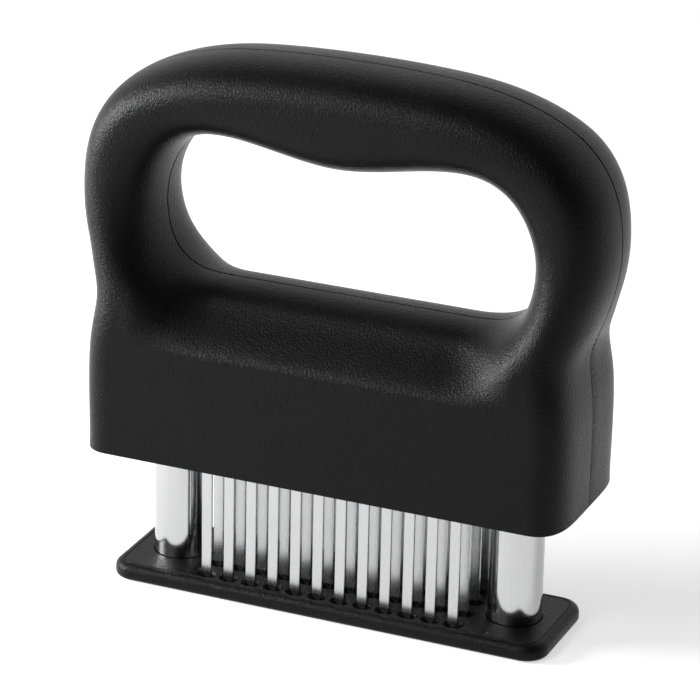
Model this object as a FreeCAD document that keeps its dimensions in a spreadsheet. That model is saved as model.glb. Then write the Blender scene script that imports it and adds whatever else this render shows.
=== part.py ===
import FreeCAD, Part
import math
import os
import re
import Sketcher

os.makedirs("parts", exist_ok=True)

V = FreeCAD.Vector
doc = FreeCAD.newDocument("blade_tenderizer")
sheet = doc.addObject("Spreadsheet::Sheet", "dims")

# driving dimensions in millimetres, counts as they are
SIZES = {
    # guard plate that rests on the meat
    "plate_width": 128.4,
    "plate_depth": 35.6,
    "plate_thick": 4.5,
    "plate_corner": 6.5,
    "plate_edge": 2.0,
    "trough_margin": 2.6,
    "trough_depth": 0.6,
    # two guide tubes that carry the plate
    "tube_spacing": 100.0,
    "tube_dia": 15.0,
    "tube_wall": 1.0,
    "socket_floor": 2.2,
    "socket_clear": 0.15,
    "plug_thick": 5.0,
    "plug_clear": 0.1,
    "travel": 34.0,
    # blades
    "blade_count": 12,
    "row_count": 4,
    "blade_pitch": 6.67,
    "row_pitch": 7.75,
    "blade_width": 2.95,
    "blade_thick": 1.0,
    "blade_tip_z": 1.8,
    "tip_length": 3.0,
    "slot_clear": 0.35,
    "pocket_clear": 0.05,
    "pin_dia": 1.6,
    "pin_clear": 0.1,
    # housing
    "base_width": 140.0,
    "base_depth": 50.0,
    "base_corner": 9.0,
    "mouth_z": 40.7,
    "front_top_z": 72.0,
    "skirt_height": 12.5,
    "edge_roll": 10.5,
    "base_flatness": 2.7,
    "groove_wall": 3.4,
    "lip_wall": 5.0,
    "lip_height": 2.0,
    "cavity_top_z": 70.0,
    "well_top_z": 86.0,
    "well_clear": 0.8,
    # grip ring over the base
    "grip_width": 151.0,
    "grip_top_z": 154.7,
    "grip_depth": 37.0,
    "taper_height": 46.0,
    "waist_z": 83.0,
    "waist_inset": 1.5,
    "opening_width": 109.2,
    "opening_bottom_z": 88.8,
    "opening_top_z": 130.8,
    "bar_depth": 29.0,
    # blade holder and its clamp
    "holder_thick": 5.3,
    "holder_block_height": 10.0,
    "holder_block_margin": 1.6,
    "holder_clear": 0.1,
    "clamp_thick": 2.4,
    "clamp_screw_dia": 3.0,
    "clamp_screw_head": 5.4,
    "screw_head_thick": 2.0,
    "screw_reach": 7.0,
    "block_clear": 0.275,
    "head_inset": 0.3,
    # guide bushes, stop rings, springs and their posts
    "bush_wall": 1.6,
    "bush_flange": 1.0,
    "run_clear": 0.3,
    "slide_clear": 0.15,
    "ring_thick": 1.2,
    "ring_width": 1.5,
    "wire_dia": 1.2,
    "coil_dia": 10.2,
    "coil_turns": 11,
    "post_dia": 7.4,
    "post_reach": 34.0,
    "post_plug_dia": 5.0,
    "post_plug_length": 4.0,
    # screws under the plate
    "plate_screw_dia": 3.0,
    "plate_screw_head": 5.6,
    "screw_sunk": 0.3,
}
for row, (alias, value) in enumerate(SIZES.items(), start=1):
    sheet.set("A%d" % row, alias)
    sheet.set("B%d" % row, str(value))
    sheet.setAlias("B%d" % row, alias)
doc.recompute()


def bound(text):
    """Expression text with every alias turned into a reference to its cell."""
    return re.sub(r"[a-z]+(?:_[a-z]+)+|travel", lambda m: "dims." + m.group(0), str(text))


def size(text):
    """Present value of an expression over the sheet."""
    return float(sheet.evalExpression(bound(text)))


def drive(obj, **sizes):
    """Tie properties of an object to the sheet."""
    for name, text in sizes.items():
        obj.setExpression(name, bound(text))


def put(obj, x=0, y=0, z=0):
    """Tie the place of an object to the sheet."""
    for axis, text in zip("xyz", (x, y, z)):
        if str(text) != "0":
            obj.setExpression("Placement.Base." + axis, bound(text))
    return obj


def box(name, width, depth, height, z, x="0", y="0"):
    """Box centred on x and y, standing at z."""
    obj = doc.addObject("Part::Box", name)
    drive(obj, Length=width, Width=depth, Height=height)
    return put(obj, "%s - (%s) / 2" % (x, width), "%s - (%s) / 2" % (y, depth), z)


def cylinder(name, dia, height, z, x="0", y="0"):
    """Upright cylinder standing at z."""
    obj = doc.addObject("Part::Cylinder", name)
    drive(obj, Radius="(%s) / 2" % dia, Height=height)
    return put(obj, x, y, z)


def cut(name, base, tools):
    """Base less its tools."""
    tool = tools[0]
    if len(tools) > 1:
        tool = doc.addObject("Part::MultiFuse", name + "_tools")
        tool.Shapes = tools
    obj = doc.addObject("Part::Cut", name)
    obj.Base = base
    obj.Tool = tool
    obj.Refine = False
    return obj


def fuse(name, shapes):
    """Union of shapes."""
    obj = doc.addObject("Part::MultiFuse", name)
    obj.Shapes = shapes
    obj.Refine = False
    return obj


def plane_of(body, role):
    """Origin plane of a body by its role."""
    return [f for f in body.Origin.OriginFeatures if f.Role == role][0]


def sketch_on(body, role, name):
    """Empty sketch on one of a body's own origin planes."""
    sketch = body.newObject("Sketcher::SketchObject", name)
    sketch.AttachmentSupport = [(plane_of(body, role), "")]
    sketch.MapMode = "FlatFace"
    return sketch


def pin_point(sketch, edge, u, v):
    """Fix the first point of an edge at (u, v), both tied to the sheet."""
    for kind, axis, text in (("DistanceX", -2, u), ("DistanceY", -1, v)):
        if str(text) == "0":
            sketch.addConstraint(Sketcher.Constraint("PointOnObject", edge, 1, axis))
            continue
        n = sketch.addConstraint(Sketcher.Constraint(kind, -1, 1, edge, 1, size(text)))
        sketch.setExpression("Constraints[%d]" % n, bound(text))


def polygon(sketch, corners):
    """Closed outline of straight edges through corners given as expressions."""
    spots = [V(size(u), size(v), 0) for u, v in corners]
    first = sketch.GeometryCount
    count = len(spots)
    for i in range(count):
        sketch.addGeometry(Part.LineSegment(spots[i], spots[(i + 1) % count]))
    for i in range(count):
        after = first + (i + 1) % count
        sketch.addConstraint(Sketcher.Constraint("Coincident", first + i, 2, after, 1))
    for i, (u, v) in enumerate(corners):
        pin_point(sketch, first + i, u, v)


def rectangle(sketch, width, depth, x="0", y="0"):
    """Centred rectangle as four bound corners."""
    right, left = "%s + (%s) / 2" % (x, width), "%s - (%s) / 2" % (x, width)
    back, front = "%s + (%s) / 2" % (y, depth), "%s - (%s) / 2" % (y, depth)
    polygon(sketch, [(left, front), (right, front), (right, back), (left, back)])


def padded(body, name, sketch, length):
    """Pad of a sketch."""
    pad = body.newObject("PartDesign::Pad", name)
    pad.Profile = sketch
    drive(pad, Length=length)
    return pad


def turned(name, outline, x="0", y="0", z="0"):
    """Body turned about its upright axis from (radius, height) corners."""
    body = doc.addObject("PartDesign::Body", name)
    sketch = sketch_on(body, "XZ_Plane", name + "_profile")
    polygon(sketch, outline)
    turn = body.newObject("PartDesign::Revolution", name + "_turn")
    turn.Profile = sketch
    turn.ReferenceAxis = (sketch, ["V_Axis"])
    turn.Angle = 360
    return put(body, x, y, z)


def edges_where(shape, test):
    """Names of the edges of a shape that pass a test."""
    return ["Edge%d" % (i + 1) for i, e in enumerate(shape.Edges) if test(e)]


def rounded(body, name, base, radius, test):
    """Fillet of the edges of a body's feature that pass a test."""
    doc.recompute()
    fillet = body.newObject("PartDesign::Fillet", name)
    fillet.Base = (base, edges_where(base.Shape, test))
    drive(fillet, Radius=radius)
    return fillet


def is_upright(edge):
    d = edge.valueAt(edge.LastParameter) - edge.valueAt(edge.FirstParameter)
    return math.hypot(d.x, d.y) < 0.001 and abs(d.z) > 0.001


SIDES = (("left", "-tube_spacing / 2"), ("right", "tube_spacing / 2"))
nodes = []


def node(name, obj):
    """Keep an object as a piece of the assembly under its name."""
    obj.Label = name
    nodes.append(obj)
    return obj


# heights that several pieces share
HOLDER_Z = "mouth_z + lip_height"
HOLDER_TOP = "mouth_z + lip_height + holder_thick"
BLOCK_TOP = "mouth_z + lip_height + holder_thick + holder_block_height"
BUSH_TOP = "mouth_z + lip_height + holder_thick + bush_flange"
RING_Z = "mouth_z + lip_height + holder_thick + bush_flange + run_clear"
TUBE_TOP = RING_Z + " + ring_thick"
TUBE_BORE = "tube_dia - 2 * tube_wall"
BANK_WIDTH = "(blade_count - 1) * blade_pitch + blade_width"
BANK_DEPTH = "(row_count - 1) * row_pitch + blade_thick"
BLADE_X = "-(blade_count - 1) * blade_pitch / 2"
PIN_Z = "mouth_z + lip_height + holder_thick + holder_block_height / 2"
CLAMP_WIDTH = BANK_WIDTH + " + 2 * holder_block_margin"
CLAMP_DEPTH = "base_depth - 2 * lip_wall - 2 * block_clear"


def row_y(i):
    """Middle of blade row i, counted from the front."""
    return "(%d - (row_count - 1) / 2) * row_pitch" % i


def column_x(k):
    """Middle of blade column k, counted from the left."""
    return "%s + %d * blade_pitch" % (BLADE_X, k)


# the handle's right half in front view. Each pair is a point of the outer outline and the
# point of the hand opening's edge that faces it.
# crown: outer point as shares of the grip's half width and of the height over the waist
CROWN = [
    ((0.000, 1.000), (0.000, 0.893)),
    ((0.265, 0.993), (0.293, 0.938)),
    ((0.503, 0.968), (0.549, 0.990)),
    ((0.702, 0.909), (0.760, 0.971)),
    ((0.861, 0.813), (0.897, 0.852)),
    ((0.958, 0.676), (0.967, 0.695)),
    ((0.997, 0.523), (0.996, 0.552)),
    ((0.999, 0.363), (1.000, 0.410)),
    ((0.970, 0.216), (0.982, 0.267)),
    ((0.931, 0.098), (0.945, 0.155)),
]
# side: share of the waist's inset, and of the height from the waist down to the mouth
SIDE = [
    ((1.0, 0.00), (0.888, 0.076)),
    ((0.4, 0.22), (0.815, 0.026)),
    ((0.0, 0.45), (0.733, 0.005)),
    ((0.0, 0.73), (0.623, 0.000)),
    ((0.0, 1.01), (0.513, 0.000)),
    ((1.3, 1.26), (0.403, 0.000)),
]
# skirt under the mouth, cut away: shares of the half widths of the base and of the opening
SKIRT = [(0.77, 0.31), (0.51, 0.20), (0.26, 0.10), (0.0, 0.0)]
SKIN_ROWS = 16
ROLL_STEPS = 5
MIDDLE_STEPS = 4
SQUARENESS = 2.3


def outlines():
    """Outer and inner points of the right half, from the top middle to the bottom middle."""
    grip, top, waist = size("grip_width / 2"), size("grip_top_z"), size("waist_z")
    base, inset, mouth = size("base_width / 2"), size("waist_inset"), size("mouth_z")
    half, low, high = size("opening_width / 2"), size("opening_bottom_z"), size("opening_top_z")
    outer = [V(x * grip, 0, waist + z * (top - waist)) for (x, z), _ in CROWN]
    outer += [V(base - x * inset, 0, waist - z * (waist - mouth)) for (x, z), _ in SIDE]
    outer += [V(x * base, 0, mouth - size("skirt_height")) for x, _ in SKIRT]
    inner = [V(x * half, 0, low + z * (high - low)) for _, (x, z) in CROWN + SIDE]
    inner += [V(x * half, 0, low) for _, x in SKIRT]
    return outer, inner


def smooth_loop(points):
    """Closed curve through the mirrored left points, then the right ones, one per parameter."""
    loop = [V(-p.x, 0, p.z) for p in points[:0:-1]] + points[:-1]
    curve = Part.BSplineCurve()
    knots = [float(k) for k in range(len(loop) + 1)]
    curve.interpolate(Points=loop, PeriodicFlag=True, Parameters=knots)
    return curve


def ease(low, high, value):
    """0 below low, 1 above high, smooth between."""
    share = min(1, max(0, (value - low) / (high - low)))
    return share * share * (3 - 2 * share)


def plateau(x, z):
    """Half depth of the handle away from its edges: deep base, scooped bar, slimmer grip."""
    base, grip, bar = size("base_depth / 2"), size("grip_depth / 2"), size("bar_depth / 2")
    low, front = size("opening_bottom_z"), size("front_top_z")
    leg = base + (grip - base) * ease(front, front + size("taper_height"), z)
    scoop = base + (bar - base) * ease(front + 1, low - 4, z)
    half = size("opening_width / 2")
    beside = max(ease(0.62 * half, 1.02 * half, abs(x)), ease(low + 2, low + 14, z))
    return scoop + (leg - scoop) * beside


def distance(spot, line):
    """Distance in front view from a spot to a closed line of points."""
    best = 1e9
    for a, b in zip([line[-1]] + line, line):
        d = b - a
        share = ((spot.x - a.x) * d.x + (spot.z - a.z) * d.z) / max(d.Length ** 2, 1e-9)
        share = max(0, min(1, share))
        best = min(best, math.hypot(spot.x - a.x - share * d.x, spot.z - a.z - share * d.z))
    return best


def rise(gap, roll, flatness):
    """Share of the full depth at a distance from an edge that rolls over within roll."""
    return (1 - (1 - min(1, gap / roll)) ** SQUARENESS) ** (1 / flatness)


def row_spacing(length, roll):
    """Distances along one row: close together where it rolls over at both ends."""
    roll = min(roll, length / 2)
    turns = [math.pi / 2 * k / ROLL_STEPS for k in range(ROLL_STEPS + 1)]
    start = [roll * (1 - math.cos(a)) for a in turns]
    middle = [roll + (length - 2 * roll) * k / MIDDLE_STEPS for k in range(1, MIDDLE_STEPS)]
    return start + middle + [length - s for s in start[::-1]]


def skin_row(outer, inner, rims):
    """Control points of the front skin from the opening's edge to the outer outline."""
    along = (outer - inner).normalize()
    spaces = row_spacing((outer - inner).Length, size("edge_roll") + 0.5)
    row = []
    for number, gap in enumerate(spaces):
        spot = inner + along * gap
        boxy = 1 - ease(size("front_top_z") + 2, size("front_top_z") + 28, spot.z)
        roll, base_roll = size("edge_roll"), size("base_corner")
        if number in (0, len(spaces) - 1):
            row.append(spot)
            continue
        depth = plateau(spot.x, spot.z) * rise(distance(spot, rims[1]), roll, SQUARENESS)
        depth *= rise(distance(spot, rims[0]), roll + (base_roll - roll) * boxy,
                      SQUARENESS + size("base_flatness") * boxy)
        if number == 1:
            spot = inner + along * gap * 0.35
        if number == len(spaces) - 2:
            spot = outer - along * (spaces[-1] - gap) * 0.35
        row.append(V(spot.x, -depth, spot.z))
    return row


def clamped_knots(count):
    """Knots and multiplicities of a cubic that starts and ends on its control points."""
    spans = count - 3
    return [float(k) for k in range(spans + 1)], [4] + [1] * (spans - 1) + [4]


def edges_flat_in(shape, axis):
    return [e for e in shape.Edges if getattr(e.BoundBox, axis + "Length") < 0.0001]


def make_front_form():
    """Closed front half: a smooth skin, its mirror image and the flat parting face."""
    curves = [smooth_loop(points) for points in outlines()]
    start = len(outlines()[0]) - 1
    rims = [[c.value(start * k / 120) for k in range(240)] for c in curves]
    step = start / SKIN_ROWS
    rows = [skin_row(*[c.value(start + k * step) for c in curves], rims)
            for k in range(SKIN_ROWS + 1)]
    for row in (rows[0], rows[-1]):
        row[:] = [V(0, p.y, p.z) for p in row]
    u, v = clamped_knots(len(rows)), clamped_knots(len(rows[0]))
    skin = Part.BSplineSurface()
    skin.buildFromPolesMultsKnots(rows, u[1], v[1], u[0], v[0], False, False, 3, 3)
    right = skin.toShape()
    left = right.mirror(V(0, 0, 0), V(1, 0, 0))
    loops = Part.sortEdges(edges_flat_in(right, "Y") + edges_flat_in(left, "Y"))
    parting = Part.makeFace([Part.Wire(loop) for loop in loops], "Part::FaceMakerBullseye")
    shell = Part.Shell([right, left, parting])
    shell.sewShape()
    form = doc.addObject("Part::Feature", "front_form")
    form.Shape = Part.Solid(shell)
    return form


def make_cavity():
    """What the housing leaves open inside: mouth, holder groove, chamber and spring wells."""
    lip_w, lip_d = "base_width - 2 * lip_wall", "base_depth - 2 * lip_wall"
    groove_w, groove_d = "base_width - 2 * groove_wall", "base_depth - 2 * groove_wall"
    tools = [box("chamber", lip_w, lip_d, "cavity_top_z - mouth_z + 1", "mouth_z - 1"),
             box("holder_groove", groove_w, groove_d, "holder_thick", HOLDER_Z)]
    for side, x in SIDES:
        dia = "tube_dia + 2 * ring_width + 2 * well_clear"
        tools.append(cylinder("well_" + side, dia, "well_top_z - mouth_z", "mouth_z", x))
        tools.append(cylinder("post_seat_" + side, "post_plug_dia + pin_clear",
                              "post_plug_length + pin_clear", "well_top_z - 0.01", x))
    return tools


def make_shells():
    """Front and rear shells, parted on the handle's middle plane."""
    front = make_front_form()
    rear = doc.addObject("Part::Mirroring", "rear_form")
    rear.Source = front
    rear.Normal = V(0, 1, 0)
    skirt = box("skirt_cut", "base_width + 10", "base_depth + 10", "skirt_height + 5",
                "mouth_z - skirt_height - 5")
    cavity = fuse("cavity", make_cavity() + [skirt])
    for name, form in (("front_shell", front), ("rear_shell", rear)):
        node(name, cut(name, form, [cavity]))


def make_plate():
    """Guard plate: round corners, soft rim, shallow trough, slots and tube sockets."""
    body = doc.addObject("PartDesign::Body", "plate_body")
    sketch = sketch_on(body, "XY_Plane", "plate_outline")
    rectangle(sketch, "plate_width", "plate_depth")
    pad = padded(body, "plate_pad", sketch, "plate_thick")
    corners = rounded(body, "plate_corners", pad, "plate_corner", is_upright)
    rounded(body, "plate_rim", corners, "plate_edge", lambda e: not is_upright(e))
    tools = [box("trough", BANK_WIDTH + " + 2 * trough_margin", BANK_DEPTH + " + 2 * trough_margin",
                 "trough_depth + 1", "plate_thick - trough_depth")]
    for i in range(int(size("row_count"))):
        for k in range(int(size("blade_count"))):
            tools.append(box("slot_%d_%d" % (i, k), "blade_width + 2 * slot_clear",
                             "blade_thick + 2 * slot_clear", "plate_thick + 2", "-1",
                             column_x(k), row_y(i)))
    for side, x in SIDES:
        tools.append(cylinder("socket_" + side, "tube_dia + 2 * socket_clear", "plate_thick",
                              "socket_floor", x))
        tools.append(cylinder("screw_way_" + side, "plate_screw_dia + 2 * pin_clear", "socket_floor + 2",
                              "-1", x))
        sink = doc.addObject("Part::Cone", "screw_sink_" + side)
        mouth = "plate_screw_head / 2 + screw_sunk + 1.5 * pin_clear"
        drive(sink, Radius1=mouth, Radius2="plate_screw_dia / 2",
              Height=mouth + " - plate_screw_dia / 2")
        put(sink, x)
        tools.append(sink)
    node("guard_plate", cut("plate", body, tools))


def make_blade_row(i):
    """One row of upright blades, each ground to a point and drilled for its column's pin."""
    half, top = size("blade_width / 2"), size(BLOCK_TOP)
    tip, slope = size("blade_tip_z"), size("tip_length")
    thick, pitch = size("blade_thick"), size("blade_pitch")
    outline = [V(-half, 0, top), V(-half, 0, tip + slope), V(0, 0, tip), V(half, 0, tip + slope),
               V(half, 0, top)]
    face = Part.Face(Part.makePolygon(outline + outline[:1]))
    blade = face.extrude(V(0, thick, 0)).translated(V(0, -thick / 2, 0))
    hole = Part.makeCylinder(size("pin_dia / 2 + pin_clear"), thick * 3, V(0, -thick * 1.5, size(PIN_Z)),
                             V(0, 1, 0))
    blade = blade.cut(hole)
    start, y = size(BLADE_X), size(row_y(i))
    copies = [blade.translated(V(start + k * pitch, y, 0)) for k in range(int(size("blade_count")))]
    row = doc.addObject("Part::Feature", "blade_row_%d" % (i + 1))
    row.Shape = Part.makeCompound(copies)
    node("blade_row_%d" % (i + 1), row)


def make_holder():
    """Blade holder: a flange held in the housing's groove, with a slotted block on top."""
    wide = "base_width - 2 * groove_wall - 2 * holder_clear"
    deep = "base_depth - 2 * groove_wall - 2 * holder_clear"
    flange = box("holder_flange", wide, deep, "holder_thick - holder_clear", HOLDER_Z)
    block = box("holder_block", CLAMP_WIDTH, CLAMP_DEPTH, "holder_block_height + holder_clear",
                HOLDER_TOP + " - holder_clear")
    tools = [pin_shape("pin_way_%d" % k, "pin_dia + 2 * pin_clear", CLAMP_DEPTH + " + 2", k)
             for k in range(int(size("blade_count")))]
    for n, (x, y) in enumerate(clamp_spots()):
        tools.append(cylinder("holder_screw_%d" % n, "clamp_screw_dia", "screw_reach + 1",
                              BLOCK_TOP + " - screw_reach", x, y))
    for i in range(int(size("row_count"))):
        for k in range(int(size("blade_count"))):
            tools.append(box("pocket_%d_%d" % (i, k), "blade_width + 2 * pocket_clear",
                             "blade_thick + 2 * pocket_clear", BLOCK_TOP + " - mouth_z + 1", "mouth_z",
                             column_x(k), row_y(i)))
    for side, x in SIDES:
        tools.append(cylinder("bush_bore_" + side, "tube_dia + 2 * slide_clear + 2 * bush_wall",
                              "holder_thick + 2", HOLDER_Z + " - 1", x))
    node("blade_holder", cut("holder", fuse("holder_form", [flange, block]), tools))


def clamp_spots():
    """Places of the clamp's four screws: near its long edges, midway between two columns."""
    y = "(%s) / 2 - clamp_screw_head / 2 - head_inset" % CLAMP_DEPTH
    x = "(blade_count - 4) / 2 * blade_pitch"
    return [(sx + "(" + x + ")", sy + "(" + y + ")") for sx in ("", "-") for sy in ("", "-")]


def make_clamp():
    """Flat clamp over the blades' heads, and its four screws."""
    plate = box("clamp_plate", CLAMP_WIDTH, CLAMP_DEPTH, "clamp_thick", BLOCK_TOP)
    ways = [cylinder("clamp_way_%d" % n, "clamp_screw_dia + 2 * pin_clear", "clamp_thick + 2",
                     BLOCK_TOP + " - 1", x, y) for n, (x, y) in enumerate(clamp_spots())]
    node("blade_clamp", cut("clamp", plate, ways))
    screws = []
    for n, (x, y) in enumerate(clamp_spots()):
        shank = cylinder("clamp_shank_%d" % n, "clamp_screw_dia", "clamp_thick + screw_reach",
                         BLOCK_TOP + " - screw_reach", x, y)
        head = cylinder("clamp_head_%d" % n, "clamp_screw_head", "screw_head_thick",
                        BLOCK_TOP + " + clamp_thick", x, y)
        screws.append(fuse("clamp_screw_%d" % n, [shank, head]))
    group("clamp_screws", screws)


def group(name, pieces):
    """Several like pieces in one node, each still its own solid."""
    bundle = doc.addObject("Part::Compound", name)
    bundle.Links = pieces
    node(name, bundle)


def pin_shape(name, dia, length, k):
    """Cylinder from front to back through blade column k at the pins' height."""
    pin = doc.addObject("Part::Cylinder", name)
    drive(pin, Radius="(%s) / 2" % dia, Height=length)
    pin.Placement = FreeCAD.Placement(V(0, 0, 0), FreeCAD.Rotation(V(1, 0, 0), -90))
    return put(pin, column_x(k), "-(%s) / 2" % length, PIN_Z)


def make_pins():
    """One steel pin through each column of blades, as long as the holder's block is deep."""
    columns = range(int(size("blade_count")))
    group("blade_pins", [pin_shape("pin_%d" % k, "pin_dia", CLAMP_DEPTH, k) for k in columns])


def make_tube(side, x):
    """Guide tube with its stop ring above the bush and its spring plug below."""
    tube = cut(side + "_tube_form",
               cylinder(side + "_tube_outside", "tube_dia", TUBE_TOP + " - socket_floor",
                        "socket_floor", x),
               [cylinder(side + "_tube_bore", TUBE_BORE, TUBE_TOP, "0", x)])
    node(side + "_guide_tube", tube)
    ring = [("tube_dia / 2", RING_Z), ("tube_dia / 2 + ring_width", RING_Z),
            ("tube_dia / 2 + ring_width", TUBE_TOP + " - ring_thick / 4"),
            ("tube_dia / 2 + ring_width - ring_thick / 4", TUBE_TOP), ("tube_dia / 2", TUBE_TOP)]
    node(side + "_stop_ring", turned(side + "_stop_ring", ring, x))
    top, edge = "socket_floor + plug_thick", "tube_dia / 2 - tube_wall - plug_clear"
    plug = [("plate_screw_dia / 2 + pin_clear", "socket_floor"), (edge, "socket_floor"), (edge, top),
            ("plate_screw_dia / 2 + pin_clear", top)]
    node(side + "_tube_plug", turned(side + "_tube_plug", plug, x))


def make_bush(side, x):
    """Flanged bush that the tube slides in."""
    inside, outside = "tube_dia / 2 + slide_clear", "tube_dia / 2 + slide_clear + bush_wall"
    shape = [(inside, HOLDER_Z), (outside, HOLDER_Z), (outside, HOLDER_TOP),
             (outside + " + bush_flange", HOLDER_TOP), (outside + " + bush_flange", BUSH_TOP),
             (inside, BUSH_TOP)]
    node(side + "_guide_bush", turned(side + "_guide_bush", shape, x))


def make_post(side, x):
    """Post inside the spring, with a plug held between the shells."""
    bottom, plug_top = "well_top_z - post_reach", "well_top_z + post_plug_length"
    shape = [("0", bottom), ("post_dia / 2 - 1", bottom), ("post_dia / 2", bottom + " + 1"),
             ("post_dia / 2", "well_top_z"), ("post_plug_dia / 2", "well_top_z"),
             ("post_plug_dia / 2", plug_top), ("0", plug_top)]
    node(side + "_spring_post", turned(side + "_spring_post", shape, x))


def make_spring(side, x):
    """Return spring between the tube's plug and the top of its well."""
    low, high = size("socket_floor + plug_thick + wire_dia / 2"), size("well_top_z - wire_dia / 2")
    radius, turns = size("coil_dia / 2"), size("coil_turns")
    helix = Part.makeHelix((high - low) / turns, high - low, radius)
    wire = Part.makeCircle(size("wire_dia / 2"), V(radius, 0, 0), V(0, 1, 0))
    coil = Part.Wire(helix).makePipeShell([Part.Wire([wire])], True, True)
    spring = doc.addObject("Part::Feature", side + "_return_spring")
    spring.Shape = coil
    spring.Placement.Base = V(size(x), 0, low)
    node(side + "_return_spring", spring)


def make_plate_screws():
    """Countersunk screws from under the plate into the tube plugs."""
    screws = []
    for side, x in SIDES:
        head = "(plate_screw_head - plate_screw_dia) / 2"
        outline = [("0", "screw_sunk"), ("plate_screw_head / 2", "screw_sunk"),
                   ("plate_screw_dia / 2", "screw_sunk + " + head),
                   ("plate_screw_dia / 2", "socket_floor + plug_thick - 1"),
                   ("0", "socket_floor + plug_thick - 1")]
        screws.append(turned(side + "_plate_screw", outline, x))
    group("plate_screws", screws)


make_shells()
make_plate()
for number in range(int(size("row_count"))):
    make_blade_row(number)
make_holder()
make_clamp()
make_pins()
for side_name, side_x in SIDES:
    make_tube(side_name, side_x)
    make_bush(side_name, side_x)
    make_post(side_name, side_x)
    make_spring(side_name, side_x)
make_plate_screws()
doc.recompute()


def check(objects):
    """Stop if any object failed or any piece is empty or unsound."""
    for obj in doc.Objects:
        if "Invalid" in obj.State or "Error" in obj.State:
            raise RuntimeError("failed: " + obj.Name + " " + obj.Label)
    for obj in objects:
        if obj.Shape.isNull() or not obj.Shape.isValid():
            raise RuntimeError("unsound: " + obj.Label)


check(nodes)
for piece in nodes:
    piece.Shape.exportStep("parts/%s.step" % piece.Label)
    print(piece.Label, len(piece.Shape.Solids), round(piece.Shape.Volume, 1))
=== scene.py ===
import math

import bmesh
import bpy
import numpy as np
from mathutils import Matrix, Vector


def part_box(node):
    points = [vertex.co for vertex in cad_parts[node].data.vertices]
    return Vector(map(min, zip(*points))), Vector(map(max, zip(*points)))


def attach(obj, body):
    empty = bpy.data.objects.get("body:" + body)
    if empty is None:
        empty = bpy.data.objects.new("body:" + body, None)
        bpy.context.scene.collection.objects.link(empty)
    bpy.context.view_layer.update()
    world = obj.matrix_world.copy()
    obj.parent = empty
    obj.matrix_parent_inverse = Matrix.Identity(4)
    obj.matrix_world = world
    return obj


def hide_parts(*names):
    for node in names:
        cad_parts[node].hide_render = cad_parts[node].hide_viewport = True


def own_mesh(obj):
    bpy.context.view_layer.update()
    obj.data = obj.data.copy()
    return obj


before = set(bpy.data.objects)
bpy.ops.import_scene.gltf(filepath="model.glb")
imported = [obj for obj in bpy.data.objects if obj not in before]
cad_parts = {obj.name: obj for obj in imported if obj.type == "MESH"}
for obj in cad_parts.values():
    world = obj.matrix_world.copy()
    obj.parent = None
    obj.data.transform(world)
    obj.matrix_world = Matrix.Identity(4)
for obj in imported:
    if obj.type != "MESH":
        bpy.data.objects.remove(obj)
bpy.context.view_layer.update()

mm = 0.001
sides = ("left", "right")
past = 1 * mm  # how far a cutter stands past the face that it opens
usualMerge = 1e-6  # metres: points nearer than this become one
fineMerge = 1e-7  # the same after a boolean cut, and the shortest edge that is kept


# meshes from numpy arrays

def makeMesh(name, points, faces):  # points in metres, faces as lists of point numbers
    mesh = bpy.data.meshes.new(name)
    mesh.from_pydata(np.asarray(points).tolist(), [], faces)
    made = bpy.data.objects.new(name, mesh)
    bpy.context.scene.collection.objects.link(made)
    return made


def gridFaces(rows, columns, wrapRows=False, wrapColumns=False):
    # quads between the neighbours of a grid of points, closed on itself where it wraps
    r = np.arange(rows if wrapRows else rows - 1)[:, None]
    c = np.arange(columns if wrapColumns else columns - 1)[None, :]
    nextR, nextC = (r + 1) % rows, (c + 1) % columns
    quads = np.stack([r * columns + c, r * columns + nextC,
                      nextR * columns + nextC, nextR * columns + c], axis=-1)
    return quads.reshape(-1, 4).tolist()


def settle(made, merge=usualMerge, sharpAngle=32):
    # joins doubles, turns the faces out and smooths all but the edges over the angle
    work = bmesh.new()
    work.from_mesh(made.data)
    bmesh.ops.remove_doubles(work, verts=work.verts, dist=merge)
    bmesh.ops.dissolve_degenerate(work, edges=work.edges, dist=fineMerge)
    bmesh.ops.recalc_face_normals(work, faces=work.faces)
    work.to_mesh(made.data)
    work.free()
    made.data.polygons.foreach_set("use_smooth", np.ones(len(made.data.polygons), bool))
    made.data.set_sharp_from_angle(angle=math.radians(sharpAngle))
    made.data.update()
    return made


def cutAway(made, cutters):  # boolean difference, one cutter after another
    for cutter in cutters:
        step = made.modifiers.new("cut", "BOOLEAN")
        step.operation = "DIFFERENCE"
        step.solver = "EXACT"
        step.object = cutter
        graph = bpy.context.evaluated_depsgraph_get()
        result = bpy.data.meshes.new_from_object(made.evaluated_get(graph))
        made.modifiers.clear()
        old, made.data = made.data, result
        bpy.data.meshes.remove(old)
        bpy.data.objects.remove(cutter, do_unlink=True)
    return made


def lathe(name, profile, centre, segments):
    # closed (radius, height) profile turned round an upright axis: x = r cos a, y = r sin a
    profile = np.asarray(profile, float)
    angle = np.linspace(0, 2 * math.pi, segments, endpoint=False)[:, None]
    points = np.stack([centre[0] + profile[:, 0] * np.cos(angle),
                       centre[1] + profile[:, 0] * np.sin(angle),
                       np.broadcast_to(profile[:, 1], (segments, len(profile)))], axis=-1)
    made = makeMesh(name, points.reshape(-1, 3), gridFaces(segments, len(profile), True, True))
    return settle(made)


def roundedLoop(halfX, halfY, radius, steps):
    # corner centres plus a quarter circle of points each: one closed loop, counter-clockwise
    angle = np.linspace(0, math.pi / 2, steps)
    corners = np.array([(1, 1), (-1, 1), (-1, -1), (1, -1)], float)
    turn = np.arange(4)[:, None] * math.pi / 2 + angle[None, :]
    x = corners[:, :1] * (halfX - radius) + radius * np.cos(turn)
    y = corners[:, 1:] * (halfY - radius) + radius * np.sin(turn)
    return np.stack([x.ravel(), y.ravel()], axis=-1)


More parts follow.
